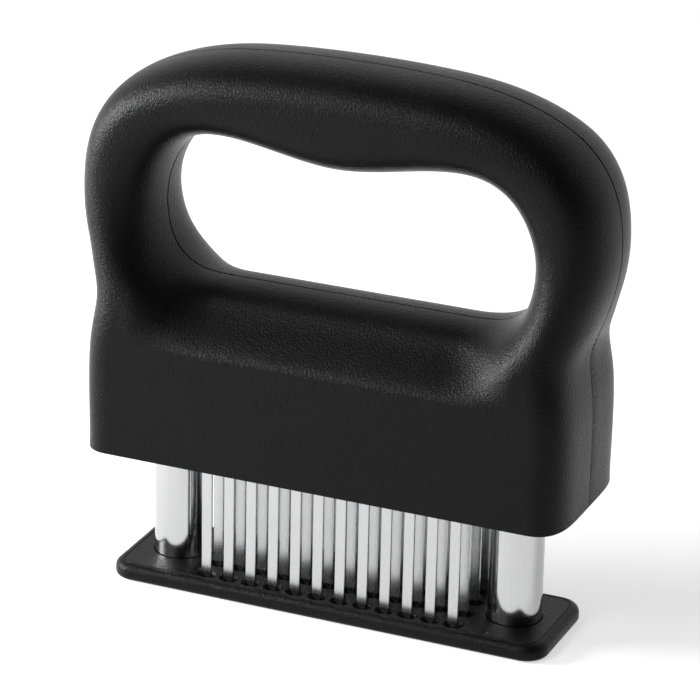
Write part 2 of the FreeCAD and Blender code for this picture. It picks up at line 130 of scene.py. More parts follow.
def stackLoops(name, loops, heights):
    # loops of equal count laid one over another, the first and the last closed by one face each
    count = len(loops[0])
    points = np.concatenate([np.column_stack([loop, np.full(count, z)])
                             for loop, z in zip(loops, heights)])
    faces = gridFaces(len(loops), count, False, True)
    last = (len(loops) - 1) * count
    faces += [list(range(count))[::-1], list(range(last, last + count))]
    return makeMesh(name, points, faces)


def joined(name, parts):  # several meshes as one, none touching another
    work = bmesh.new()
    for part in parts:
        work.from_mesh(part.data)
        bpy.data.objects.remove(part, do_unlink=True)
    bmesh.ops.recalc_face_normals(work, faces=work.faces)
    mesh = bpy.data.meshes.new(name)
    work.to_mesh(mesh)
    work.free()
    made = bpy.data.objects.new(name, mesh)
    bpy.context.scene.collection.objects.link(made)
    return made


# handle shells

handle = {
    "gripHalf": 75.5 * mm, "gripTop": 154.7 * mm, "waist": 83.0 * mm, "waistInset": 1.5 * mm,
    "baseHalf": 70.0 * mm, "baseDepth": 25.0 * mm, "gripDepth": 18.5 * mm, "barDepth": 14.5 * mm,
    "mouth": 40.7 * mm, "skirt": 12.5 * mm, "frontTop": 72.0 * mm, "taper": 46.0 * mm,
    "openingHalf": 54.6 * mm, "openingLow": 88.8 * mm, "openingHigh": 130.8 * mm,
    "roll": 10.5 * mm, "baseRoll": 9.0 * mm, "squareness": 2.3, "baseFlatness": 2.7,
    "scoopStart": 1.0 * mm, "scoopEnd": 4.0 * mm, "legShares": (0.62, 1.02),
    "barRises": (2.0 * mm, 14.0 * mm), "boxyRises": (2.0 * mm, 28.0 * mm),
    "groove": 0.13 * mm, "grooveLip": 0.22 * mm, "leastDepth": 2.5, "rollReach": 1.5 * mm,
    "rows": 190, "cornerRows": 26, "lowRows": 63, "rollSteps": 15, "middleSteps": 34,
    "crowding": 1.6, "outlineSteps": 1200, "searchSteps": 4001,
    "lipWall": 5.0 * mm, "chamberTop": 70.0 * mm, "wellTop": 86.0 * mm, "wellHalf": 9.8 * mm,
    "seatHalf": 2.55 * mm, "seatTop": 90.1 * mm, "wellSegments": 96, "seatSegments": 48,
    "holderThick": 5.3 * mm, "holderClear": 0.1 * mm,
}
# crown of the right half, from the top middle: outer point as shares of the grip's half width
# and of its height over the waist, then the point of the opening's edge that faces it
crown = np.array([
    (0.000, 1.000, 0.000, 0.893), (0.265, 0.993, 0.293, 0.938), (0.503, 0.968, 0.549, 0.990),
    (0.702, 0.909, 0.760, 0.971), (0.861, 0.813, 0.897, 0.852), (0.958, 0.676, 0.967, 0.695),
    (0.997, 0.523, 0.996, 0.552), (0.999, 0.363, 1.000, 0.410), (0.970, 0.216, 0.982, 0.267),
    (0.931, 0.098, 0.945, 0.155)])
# side: share of the waist's inset and of the height down to the mouth, then the opening again
flank = np.array([
    (1.0, 0.00, 0.888, 0.076), (0.4, 0.22, 0.815, 0.026), (0.0, 0.45, 0.733, 0.005),
    (0.0, 0.73, 0.623, 0.000), (0.0, 1.01, 0.513, 0.000), (1.3, 1.26, 0.403, 0.000)])
# below the mouth: shares of the half widths of base and opening, cut off at the mouth
under = np.array([(0.77, 0.31), (0.51, 0.20), (0.26, 0.10), (0.0, 0.0)])


def handleRims():  # outer outline and opening's edge, points from the top middle down the right
    h = handle
    outer = np.concatenate([
        np.column_stack([crown[:, 0] * h["gripHalf"],
                         h["waist"] + crown[:, 1] * (h["gripTop"] - h["waist"])]),
        np.column_stack([h["baseHalf"] - flank[:, 0] * h["waistInset"],
                         h["waist"] - flank[:, 1] * (h["waist"] - h["mouth"])]),
        np.column_stack([under[:, 0] * h["baseHalf"],
                         np.full(len(under), h["mouth"] - h["skirt"])])])
    span = h["openingHigh"] - h["openingLow"]
    shares = np.concatenate([crown[:, 2:], flank[:, 2:],
                             np.column_stack([under[:, 1], np.zeros(len(under))])])
    inner = np.column_stack([shares[:, 0] * h["openingHalf"],
                             h["openingLow"] + shares[:, 1] * span])
    return outer, inner


def closedCubic(points):
    # periodic cubic through the left points and then the right ones, one per whole parameter:
    # the second slopes solve  m[i-1] + 4 m[i] + m[i+1] = 6 (p[i-1] - 2 p[i] + p[i+1])
    left = points[:0:-1] * (-1, 1)
    loop = np.concatenate([left, points[:-1]])
    count = len(loop)
    system = 4 * np.eye(count) + np.roll(np.eye(count), 1, 0) + np.roll(np.eye(count), -1, 0)
    bends = np.linalg.solve(system, 6 * (np.roll(loop, 1, 0) - 2 * loop + np.roll(loop, -1, 0)))

    def at(place):
        whole = np.floor(place).astype(int)
        t = (place - whole)[:, None]
        a, b = whole % count, (whole + 1) % count
        slope = loop[b] - loop[a] - (2 * bends[a] + bends[b]) / 6
        return loop[a] + t * slope + t ** 2 * bends[a] / 2 + t ** 3 * (bends[b] - bends[a]) / 6
    return at


def ease(low, high, value):  # 0 below low, 1 above high, smooth between
    share = np.clip((value - low) / (high - low), 0, 1)
    return share * share * (3 - 2 * share)


spotsAtOnce = 1500  # keeps the table of distances small


def nearest(spots, line):
    # distance from each spot to a closed line of points: smallest distance to any of its pieces
    start, step = line, np.roll(line, -1, 0) - line
    best = np.empty(len(spots))
    groups = max(1, len(spots) // spotsAtOnce)
    for group in np.array_split(np.arange(len(spots)), groups):
        off = spots[group][:, None, :] - start[None]
        share = np.clip((off * step).sum(-1) / (step ** 2).sum(-1), 0, 1)[..., None]
        best[group] = np.sqrt(((off - share * step) ** 2).sum(-1)).min(1)
    return best


def rollOver(gap, roll, flatness):  # share of full depth at a gap from an edge that rolls over
    return (1 - (1 - np.minimum(1, gap / roll)) ** handle["squareness"]) ** (1 / flatness)


def handleDepth(x, z, lines):
    # half depth: a plateau that is deep at the base, scooped over the bar and slimmer at the
    # grip, times how far each edge has rolled over there
    h = handle
    leg = h["baseDepth"] + (h["gripDepth"] - h["baseDepth"]) * ease(
        h["frontTop"], h["frontTop"] + h["taper"], z)
    scoop = h["baseDepth"] + (h["barDepth"] - h["baseDepth"]) * ease(
        h["frontTop"] + h["scoopStart"], h["openingLow"] - h["scoopEnd"], z)
    atLeg = ease(*(share * h["openingHalf"] for share in h["legShares"]), np.abs(x))
    overBar = ease(*(h["openingLow"] + rise for rise in h["barRises"]), z)
    plateau = scoop + (leg - scoop) * np.maximum(atLeg, overBar)
    boxy = 1 - ease(*(h["frontTop"] + rise for rise in h["boxyRises"]), z)
    spots = np.column_stack([x, z])
    inside = rollOver(nearest(spots, lines[1]), h["roll"], h["squareness"])
    outside = rollOver(nearest(spots, lines[0]), h["roll"] + (h["baseRoll"] - h["roll"]) * boxy,
                       h["squareness"] + h["baseFlatness"] * boxy)
    return plateau * inside * outside


def rowSpread(length, roll):
    # distances along a row: crowded where it rolls over at both ends, even between
    h = handle
    turn = math.pi / 2 * np.linspace(0, 1, h["rollSteps"] + 1) ** h["crowding"]
    start = np.minimum(roll, length / 2)[:, None] * (1 - np.cos(turn) ** (2 / h["squareness"]))
    share = np.linspace(0, 1, h["middleSteps"] + 1)[1:-1]
    edge = start[:, -1:]
    middle = edge + (length[:, None] - 2 * edge) * share
    return np.concatenate([start, middle, length[:, None] - start[:, ::-1]], axis=1)


def makeFrontForm():
    # rows run straight from the opening's edge to the outer outline and stop at the mouth.
    # Front y of a point is minus its half depth, never nearer the parting plane than the groove
    h = handle
    outerAt, innerAt = [closedCubic(points) for points in handleRims()]
    start = len(crown) + len(flank) + len(under) - 1  # parameter of the top middle
    last = 2 * start  # and of the bottom middle
    dense = np.linspace(0, last, h["outlineSteps"], endpoint=False)
    lines = outerAt(dense), innerAt(dense)
    low = start + len(crown) + len(flank) - 3  # the last given point over the mouth
    search = np.linspace(low, low + 1, h["searchSteps"])
    corner = search[np.argmin(np.abs(outerAt(search)[:, 1] - h["mouth"]))]
    places = np.concatenate([
        np.linspace(start, corner, h["rows"]),
        corner + (low + 2 - corner) * np.linspace(0, 1, h["cornerRows"] + 1)[1:] ** 2,
        np.linspace(low + 2, last, h["lowRows"] + 1)[1:]])
    outer, inner = outerAt(places), innerAt(places)
    outer[[0, -1], 0] = 0
    inner[[0, -1], 0] = 0
    corners = places > corner + 1e-9
    share = (inner[:, 1] - h["mouth"]) / (inner[:, 1] - outer[:, 1])
    share = np.where(corners, share, 1.0)[:, None]
    outer = inner + (outer - inner) * share
    reach = outer - inner
    length = np.hypot(reach[:, 0], reach[:, 1])
    gaps = rowSpread(length, h["roll"] + h["rollReach"])
    along = reach / length[:, None]
    spots = inner[:, None] + along[:, None] * gaps[..., None]
    depth = handleDepth(spots[..., 0].ravel(), spots[..., 1].ravel(), lines).reshape(gaps.shape)
    depth = np.maximum(depth, h["leastDepth"] * h["groove"])
    grooveIn = (inner + along * h["grooveLip"])[:, None]
    grooveOut = np.where(corners[:, None], outer, outer - along * h["grooveLip"])[:, None]
    spots = np.concatenate([grooveIn, spots, grooveOut], axis=1)
    flat = np.full((len(places), 1), h["groove"])
    front = -np.concatenate([flat, depth, flat], axis=1)
    right = np.stack([spots[..., 0], front, spots[..., 1]], axis=-1)
    right[:, :, 2] = np.maximum(right[:, :, 2], h["mouth"])
    left = right[-2:0:-1] * (-1, 1, 1)
    skin = np.concatenate([right, left])
    rows, columns = skin.shape[:2]
    faces = gridFaces(rows, columns, True, True)  # the wrap lays the flat parting face
    return makeMesh("handleFront", skin.reshape(-1, 3), faces)


def boxCutter(name, halfX, halfY, low, high):
    return stackLoops(name, [np.array([(-halfX, -halfY), (halfX, -halfY), (halfX, halfY),
                                       (-halfX, halfY)])] * 2, [low, high])


def roundCutter(name, x, radius, low, high, segments):
    angle = np.linspace(0, 2 * math.pi, segments, endpoint=False)
    ring = np.column_stack([x + radius * np.cos(angle), radius * np.sin(angle)])
    return stackLoops(name, [ring] * 2, [low, high])


def makeHandleShells():
    h = handle
    low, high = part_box("blade_holder")
    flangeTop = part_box("left_guide_bush")[0].z + h["holderThick"]
    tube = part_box("right_guide_tube")
    tubeX = (tube[0].x + tube[1].x) / 2
    front = settle(makeFrontForm())
    cutters = [boxCutter("chamber", h["baseHalf"] - h["lipWall"], h["baseDepth"] - h["lipWall"],
                         h["mouth"] - past, h["chamberTop"]),
               boxCutter("holderGroove", high.x + h["holderClear"], high.y + h["holderClear"],
                         low.z, flangeTop)]
    for x in (-tubeX, tubeX):
        cutters += [roundCutter("well", x, h["wellHalf"], h["mouth"] - past, h["wellTop"],
                                h["wellSegments"]),
                    roundCutter("postSeat", x, h["seatHalf"], h["wellTop"] - past, h["seatTop"],
                                h["seatSegments"])]
    for cutter in cutters:
        settle(cutter)
    cutAway(front, cutters)
    settle(front, fineMerge)
    rear = front.copy()
    rear.data = front.data.copy()
    rear.name = rear.data.name = "handleRear"
    bpy.context.scene.collection.objects.link(rear)
    rear.data.transform(Matrix.Diagonal((1, -1, 1, 1)))
    settle(rear, fineMerge)
    for made, node in ((front, "front_shell"), (rear, "rear_shell")):
        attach(made, "handle")
        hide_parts(node)
    print("handle shells made", len(front.data.polygons))
    return front, rear


# guard plate

plate = {
    "corner": 6.5 * mm, "topRoll": 2.1 * mm, "bottomRoll": 1.2 * mm, "rollSteps": 9,
    "rimGroove": 0.22 * mm, "rimGrooveDepth": 0.22 * mm, "cornerSteps": 20,
    "troughMargin": 2.6 * mm, "troughDepth": 0.6 * mm, "troughSlope": 0.5 * mm,
    "troughCorner": 1.6 * mm, "troughSteps": 8, "troughOver": 0.01 * mm,
    "slotClear": 0.35 * mm, "slotSteps": 28, "slotRise": 3.0 * mm,
    "dishX": 2.9 * mm, "dishY": 2.3 * mm, "dishDepth": 0.95 * mm, "dishSteps": 5,
    "dishSpread": 0.8,
    "socketHalf": 7.62 * mm, "socketFloor": 2.2 * mm, "socketLip": 0.25 * mm,
    "screwHalf": 1.7 * mm, "sinkHalf": 3.1 * mm, "sinkDepth": 1.4 * mm, "ringSegments": 96,
}
blade = {
    "columns": 12, "rows": 4, "pitch": 6.67 * mm, "rowPitch": 7.75 * mm,
    "width": 2.95 * mm, "thick": 1.0 * mm, "edge": 0.13 * mm,
    "tipLength": 3.0 * mm, "tipHalf": 0.06 * mm, "tipThin": 0.35, "shoulder": 0.4 * mm,
    "shoulderWidth": 0.96,
}


def bladePlaces():  # x of each column from the left, y of each row from the front
    x = (np.arange(blade["columns"]) - (blade["columns"] - 1) / 2) * blade["pitch"]
    y = (np.arange(blade["rows"]) - (blade["rows"] - 1) / 2) * blade["rowPitch"]
    return x, y


def slotCutter(x, y, top, bottom):
    # a straight slot that opens into a shallow dish under the top: with t from 0 to 1, each
    # point moves from the slot's rectangle towards an ellipse by t to the power of the spread,
    # while the height climbs by t squared
    p, b = plate, blade
    angle = np.linspace(0, 2 * math.pi, p["slotSteps"], endpoint=False) + math.pi / 4
    c, s = np.cos(angle), np.sin(angle)
    reach = np.maximum(np.abs(c), np.abs(s))
    slot = np.column_stack([c / reach * (b["width"] / 2 + p["slotClear"]),
                            s / reach * (b["thick"] / 2 + p["slotClear"])])
    dish = np.column_stack([c * p["dishX"], s * p["dishY"]])
    climb = np.linspace(0, 1, p["dishSteps"])
    loops = [slot] + [slot + (dish - slot) * t ** p["dishSpread"] for t in climb] + [dish]
    heights = [bottom] + [top - p["dishDepth"] + p["dishDepth"] * t ** 2 for t in climb]
    heights.append(top + p["slotRise"])
    return stackLoops("slot", [loop + (x, y) for loop in loops], heights)


def makeGuardPlate():
    # one rounded rectangle shrunk inwards and carried up a profile of (inset, height)
    p = plate
    low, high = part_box("guard_plate")
    top = high.z
    turn = np.linspace(0, math.pi / 2, p["rollSteps"])
    bottomInset = p["bottomRoll"] * (1 - np.sin(turn))
    bottomRise = low.z + p["bottomRoll"] * (1 - np.cos(turn))
    topInset = p["topRoll"] * (1 - np.cos(turn))
    topRise = top - p["topRoll"] * (1 - np.sin(turn))
    grooveInset = p["topRoll"] + p["rimGroove"] * np.array([1, 2, 3])
    inset = np.concatenate([bottomInset, topInset, grooveInset])
    rise = np.concatenate([bottomRise, topRise, top - p["rimGrooveDepth"] * np.array([1, 1, 0])])
    loops = [roundedLoop(high.x - i, high.y - i, p["corner"] - i, p["cornerSteps"])
             for i in inset]
    made = settle(stackLoops("guardPlate", loops, rise))
    xs, ys = bladePlaces()
    bankX = xs[-1] + blade["width"] / 2 + p["troughMargin"]
    bankY = ys[-1] + blade["thick"] / 2 + p["troughMargin"]
    floor = top - p["troughDepth"]
    slope = p["troughSlope"]
    troughLoops = [roundedLoop(bankX + s, bankY + s, p["troughCorner"] + s, p["troughSteps"])
                   for s in (0, slope, slope)]
    trough = stackLoops("trough", troughLoops, [floor, top + p["troughOver"], top + past])
    slots = joined("slots", [slotCutter(x, y, floor, low.z - past) for y in ys for x in xs])
    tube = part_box("right_guide_tube")
    tubeX = (tube[0].x + tube[1].x) / 2
    ringAngle = np.linspace(0, 2 * math.pi, p["ringSegments"], endpoint=False)
    ring = np.column_stack([np.cos(ringAngle), np.sin(ringAngle)])
    reach, lip = p["socketHalf"], p["socketLip"]
    radii = [p["sinkHalf"], p["sinkHalf"], p["screwHalf"], p["screwHalf"], reach, reach,
             reach + lip, reach + lip]
    heights = [low.z - past, low.z, low.z + p["sinkDepth"], p["socketFloor"], p["socketFloor"],
               top - lip, top, top + past]
    sockets = [stackLoops("socket", [ring * radius + (x, 0) for radius in radii], heights)
               for x in (-tubeX, tubeX)]
    for cutter in (trough, slots):
        settle(cutter)
    cutAway(made, [trough, slots, settle(joined("sockets", sockets))])
    settle(made, fineMerge)
    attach(made, "guard")
    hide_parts("guard_plate")
    print("guard plate made", len(made.data.polygons))
    return made


# blades, tubes, springs

def makeBladeRow(number, y):
    # eight-sided section with eased edges, carried from the ground point up to the block;
    # width and thickness shrink along the point
    b = blade
    node = "blade_row_%d" % number
    low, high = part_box(node)
    halfW, halfT, e = b["width"] / 2, b["thick"] / 2, b["edge"]
    corner = np.array([(halfW - e, -halfT), (halfW, -halfT + e)])
    section = np.concatenate([corner, corner[::-1] * (1, -1), corner * (-1, -1),
                              corner[::-1] * (-1, 1)])
    heights = np.array([low.z, low.z + b["tipLength"], low.z + b["tipLength"] + b["shoulder"],
                        high.z])
    widths = np.array([b["tipHalf"] / halfW, b["shoulderWidth"], 1, 1])
    thicks = np.array([b["tipThin"], 1, 1, 1])
    rings = np.stack([section[None, :, 0] * widths[:, None],
                      section[None, :, 1] * thicks[:, None],
                      np.repeat(heights[:, None], len(section), axis=1)], axis=-1)
    levels, sideCount = rings.shape[:2]
    faces = gridFaces(levels, sideCount, False, True)
    faces += [list(range(sideCount))[::-1],
              list(range((levels - 1) * sideCount, levels * sideCount))]
    made = joined("bladeRow%d" % number,
                  [makeMesh("bladePart", (rings + (x, y, 0)).reshape(-1, 3), faces)
                   for x in bladePlaces()[0]])
    made.data.polygons.foreach_set("use_smooth", np.zeros(len(made.data.polygons), bool))
    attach(made, "handle")
    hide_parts(node)
    return made


tubes = {"wall": 1.0 * mm, "edge": 0.2 * mm, "segments": 144}


def makeTube(side):  # wall profile with eased edges, turned
    low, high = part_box(side + "_guide_tube")
    x = (low.x + high.x) / 2
    outside = (high.y - low.y) / 2
    inside, e = outside - tubes["wall"], tubes["edge"]
    profile = [(inside, low.z), (outside - e, low.z), (outside, low.z + e),
               (outside, high.z - e), (outside - e, high.z), (inside, high.z)]
    made = lathe(side + "Tube", profile, (x, 0), tubes["segments"])
    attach(made, "guard")
    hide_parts(side + "_guide_tube")
    return made


spring = {"coil": 5.1 * mm, "wire": 0.6 * mm, "turns": 11, "perTurn": 40, "around": 12,
          "sharpAngle": 60, "travel": 34.0 * mm}


def makeSpring(side):
    # wire circle carried along a helix: centre line radius and even climb
    low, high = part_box(side + "_return_spring")
    x = (low.x + high.x) / 2
    s = spring
    start, end = low.z + s["wire"], high.z - s["wire"]
    t = np.linspace(0, 1, s["turns"] * s["perTurn"] + 1)[:, None]
    around = np.linspace(0, 2 * math.pi, s["around"], endpoint=False)[None, :]
    turn = 2 * math.pi * s["turns"] * t
    radius = s["coil"] + s["wire"] * np.cos(around)
    points = np.stack([x + radius * np.cos(turn), radius * np.sin(turn),
                       start + (end - start) * t + s["wire"] * np.sin(around)], axis=-1)
    rings, count = points.shape[:2]
    faces = gridFaces(rings, count, False, True)
    faces += [list(range(count)), list(range((rings - 1) * count, rings * count))[::-1]]
    made = settle(makeMesh(side + "Spring", points.reshape(-1, 3), faces),
                  sharpAngle=s["sharpAngle"])
    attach(made, "handle")
    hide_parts(side + "_return_spring")
    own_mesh(made)
    return made


# materials

def newGroup(name, inputs, outputs):
    group = bpy.data.node_groups.new(name, "ShaderNodeTree")
    for label, value in inputs.items():
        socket = group.interface.new_socket(name=label, in_out="INPUT",
                                            socket_type="NodeSocketFloat")
        socket.default_value = value
    for label in outputs:
        kind = "NodeSocketVector" if label == "Normal" else "NodeSocketFloat"
        group.interface.new_socket(name=label, in_out="OUTPUT", socket_type=kind)
    return group, group.nodes.new("NodeGroupInput"), group.nodes.new("NodeGroupOutput")


def addNode(tree, kind, **values):  # node with its properties and socket values set
    made = tree.nodes.new(kind)
    for key, value in values.items():
        if hasattr(made, key):
            setattr(made, key, value)
        else:
            made.inputs[key.replace("_", " ")].default_value = value
    return made


def mathNode(tree, operation, a, b):
    made = tree.nodes.new("ShaderNodeMath")
    made.operation = operation
    for socket, value in zip(made.inputs, (a, b)):
        if isinstance(value, (int, float)):
            socket.default_value = value
        else:
            tree.links.new(value, socket)
    return made.outputs[0]


sparkGrain = {
    "cellShare": 0.55, "cellSmooth": 0.6, "grainHeight": 0.7, "cellHeight": 0.45,
    "grainRough": 0.6, "wideScale": 70.0, "wideShift": 0.5, "grainTone": 0.4, "wideTone": 0.6,
    "bumpHeight": 0.25 * mm,
}
drawnLines = {"lineRough": 0.55, "lineTone": 0.7, "wideTone": 0.3, "wideScale": 180.0,
              "bumpHeight": 0.05 * mm}


def makeSparkGrain():
    # spark-eroded mould skin: small rounded grains over a fainter, wider unevenness
    group, inlet, outlet = newGroup("sparkGrain",
                                    {"Grains Per Metre": 3000, "Depth": 0.3, "Spread": 0.1},
                                    ["Normal", "Roughness Shift", "Tone"])
    g = sparkGrain
    link = group.links.new
    place = group.nodes.new("ShaderNodeTexCoord").outputs["Object"]
    grain = addNode(group, "ShaderNodeTexNoise", Detail=2.0, Roughness=g["grainRough"])
    link(place, grain.inputs["Vector"])
    link(inlet.outputs["Grains Per Metre"], grain.inputs["Scale"])
    cells = addNode(group, "ShaderNodeTexVoronoi", feature="SMOOTH_F1",
                    Smoothness=g["cellSmooth"])
    link(place, cells.inputs["Vector"])
    link(mathNode(group, "MULTIPLY", inlet.outputs["Grains Per Metre"], g["cellShare"]),
         cells.inputs["Scale"])
    wide = addNode(group, "ShaderNodeTexNoise", Scale=g["wideScale"], Detail=3.0)
    link(place, wide.inputs["Vector"])
    height = mathNode(group, "ADD",
                      mathNode(group, "MULTIPLY", grain.outputs[0], g["grainHeight"]),
                      mathNode(group, "MULTIPLY", cells.outputs["Distance"], g["cellHeight"]))
    bump = addNode(group, "ShaderNodeBump", Distance=g["bumpHeight"])
    link(inlet.outputs["Depth"], bump.inputs["Strength"])
    link(height, bump.inputs["Height"])
    link(bump.outputs[0], outlet.inputs["Normal"])
    # both noises swing about a half
    fineSwing = mathNode(group, "SUBTRACT", grain.outputs[0], 0.5)
    wideSwing = mathNode(group, "SUBTRACT", wide.outputs[0], 0.5)
    shift = mathNode(group, "ADD", fineSwing,
                     mathNode(group, "MULTIPLY", wideSwing, g["wideShift"]))
    link(mathNode(group, "MULTIPLY", shift, inlet.outputs["Spread"]),
         outlet.inputs["Roughness Shift"])
    link(mathNode(group, "ADD", mathNode(group, "MULTIPLY", wide.outputs[0], g["wideTone"]),
                  mathNode(group, "MULTIPLY", grain.outputs[0], g["grainTone"])),
         outlet.inputs["Tone"])
    return group


def makeDrawnLines():
    # fine lines left by drawing or grinding: noise squeezed across and stretched along z
    group, inlet, outlet = newGroup("drawnLines",
                                    {"Lines Per Metre": 4000, "Stretch": 0.02, "Depth": 0.1},
                                    ["Normal", "Lines", "Tone"])
    link = group.links.new
    place = group.nodes.new("ShaderNodeTexCoord").outputs["Object"]
    scale = group.nodes.new("ShaderNodeCombineXYZ")
    scale.inputs["X"].default_value = 1
    scale.inputs["Y"].default_value = 1
    link(inlet.outputs["Stretch"], scale.inputs["Z"])
    squeezed = group.nodes.new("ShaderNodeVectorMath")
    squeezed.operation = "MULTIPLY"
    link(place, squeezed.inputs[0])
    link(scale.outputs[0], squeezed.inputs[1])
    lines = addNode(group, "ShaderNodeTexNoise", Detail=3.0, Roughness=drawnLines["lineRough"])
    link(squeezed.outputs[0], lines.inputs["Vector"])
    link(inlet.outputs["Lines Per Metre"], lines.inputs["Scale"])
    wide = addNode(group, "ShaderNodeTexNoise", Scale=drawnLines["wideScale"], Detail=2.0)
    link(place, wide.inputs["Vector"])
    bump = addNode(group, "ShaderNodeBump", Distance=drawnLines["bumpHeight"])
    link(inlet.outputs["Depth"], bump.inputs["Strength"])
    link(lines.outputs[0], bump.inputs["Height"])
    link(bump.outputs[0], outlet.inputs["Normal"])
    link(lines.outputs[0], outlet.inputs["Lines"])
    link(wide.outputs[0], outlet.inputs["Tone"])
    return group


def newMaterial(name):
    made = bpy.data.materials.new(name)
    made.use_nodes = True
    return made, made.node_tree, made.node_tree.nodes["Principled BSDF"]


def blendColours(tree, share, dark, light):
    mix = tree.nodes.new("ShaderNodeMix")
    mix.data_type = "RGBA"
    mix.inputs["A"].default_value = (*dark, 1)
    mix.inputs["B"].default_value = (*light, 1)
    tree.links.new(share, mix.inputs["Factor"])
    return mix.outputs["Result"]


plastics = {
    "handleBlack": {"grains": 2900, "depth": 0.85, "rough": 0.30, "spread": 0.22, "shine": 0.10,
                    "dark": (0.0028, 0.0028, 0.003), "light": (0.0058, 0.0058, 0.0062)},
    "guardBlack": {"grains": 2900, "depth": 0.85, "rough": 0.30, "spread": 0.22, "shine": 0.10,
                   "dark": (0.0028, 0.0028, 0.003), "light": (0.0058, 0.0058, 0.0062)},
    "holderBlack": {"grains": 1800, "depth": 0.30, "rough": 0.42, "spread": 0.12, "shine": 0.17,
                    "dark": (0.006, 0.006, 0.0063), "light": (0.010, 0.010, 0.0105)},
    "bushPlastic": {"grains": 1500, "depth": 0.12, "rough": 0.42, "spread": 0.10, "shine": 0.5,
                    "dark": (0.52, 0.52, 0.50), "light": (0.62, 0.62, 0.60)},
}
steels = {
    "tubeSteel": {"lines": 2600, "stretch": 0.015, "depth": 0.05, "rough": 0.13, "spread": 0.08,
                  "dark": (0.44, 0.44, 0.445), "light": (0.54, 0.54, 0.545)},
    "bladeSteel": {"lines": 5200, "stretch": 0.02, "depth": 0.16, "rough": 0.27, "spread": 0.16,
                   "dark": (0.43, 0.43, 0.435), "light": (0.56, 0.56, 0.565)},
    "springSteel": {"lines": 4000, "stretch": 0.3, "depth": 0.12, "rough": 0.30, "spread": 0.15,
                    "dark": (0.40, 0.40, 0.41), "light": (0.54, 0.54, 0.55)},
    "screwSteel": {"lines": 3000, "stretch": 0.5, "depth": 0.12, "rough": 0.32, "spread": 0.15,
                   "dark": (0.42, 0.42, 0.43), "light": (0.56, 0.56, 0.57)},
}


def makePlastic(name, grainGroup):
    look = plastics[name]
    made, tree, surface = newMaterial(name)
    grain = tree.nodes.new("ShaderNodeGroup")
    grain.node_tree = grainGroup
    grain.inputs["Grains Per Metre"].default_value = look["grains"]
    grain.inputs["Depth"].default_value = look["depth"]
    grain.inputs["Spread"].default_value = look["spread"]
    tree.links.new(blendColours(tree, grain.outputs["Tone"], look["dark"], look["light"]),
                   surface.inputs["Base Color"])
    tree.links.new(mathNode(tree, "ADD", grain.outputs["Roughness Shift"], look["rough"]),
                   surface.inputs["Roughness"])
    tree.links.new(grain.outputs["Normal"], surface.inputs["Normal"])
    surface.inputs["Specular IOR Level"].default_value = look["shine"]
    return made


def makeSteel(name, linesGroup):
    look = steels[name]
    made, tree, surface = newMaterial(name)
    lines = tree.nodes.new("ShaderNodeGroup")
    lines.node_tree = linesGroup
    lines.inputs["Lines Per Metre"].default_value = look["lines"]
    lines.inputs["Stretch"].default_value = look["stretch"]
    lines.inputs["Depth"].default_value = look["depth"]
    tone = mathNode(
        tree, "ADD", mathNode(tree, "MULTIPLY", lines.outputs["Lines"], drawnLines["lineTone"]),
        mathNode(tree, "MULTIPLY", lines.outputs["Tone"], drawnLines["wideTone"]))
    tree.links.new(blendColours(tree, tone, look["dark"], look["light"]),
                   surface.inputs["Base Color"])
    shift = mathNode(tree, "MULTIPLY", mathNode(tree, "SUBTRACT", tone, 0.5), look["spread"])
    tree.links.new(mathNode(tree, "ADD", shift, look["rough"]), surface.inputs["Roughness"])
    tree.links.new(lines.outputs["Normal"], surface.inputs["Normal"])
    surface.inputs["Metallic"].default_value = 1
    return made


def dress(made, material):  # a CAD node keeps its mesh and gets a material in its own slot
    if not made.data.materials:
        made.data.materials.append(material)
    for slot in range(len(made.data.materials)):
        made.data.materials[slot] = material


# studio

studio = {
    "fillStrength": 0.32, "floorHalf": 3.0, "floorColour": (0.62, 0.62, 0.62),
    "floorGlow": 0.56, "floorRough": 0.9, "floorDrop": 0.2 * mm,
    "darkWalls": {"side": {"toward": (0.77, -0.63, 0.05), "from": 0.25, "to": 0.75},
                  "ceiling": {"toward": (-0.15, 0.0, 0.99), "from": 0.55, "to": 0.80}},
    "darkLevel": 0.03,
    "lamps": {
        "sideLamp": {"place": (-0.86, -0.26, 0.32), "size": 0.40, "power": 19.0},
        "upperLamp": {"place": (-0.44, -0.42, 0.84), "size": 0.28, "power": 1.8},
        "frontLamp": {"place": (-0.34, -0.76, 0.66), "size": 0.28, "power": 2.4},
    },
    "azimuth": 22.86, "elevation": 21.65, "lean": 1.243, "lens": 194.8, "sensor": 36,
    "clip": (0.01, 20),
    "distance": 1.0182, "aim": (0, 0, 0.0782), "shift": (-0.0009, -0.0253),
}


def whiteToTheEye(tree):  # 1 for camera, mirror and glass rays, 0 for the rest
    path = tree.nodes.new("ShaderNodeLightPath")
    some = mathNode(tree, "MAXIMUM", path.outputs["Is Camera Ray"], path.outputs["Is Glossy Ray"])
    return mathNode(tree, "MAXIMUM", some, path.outputs["Is Transmission Ray"])


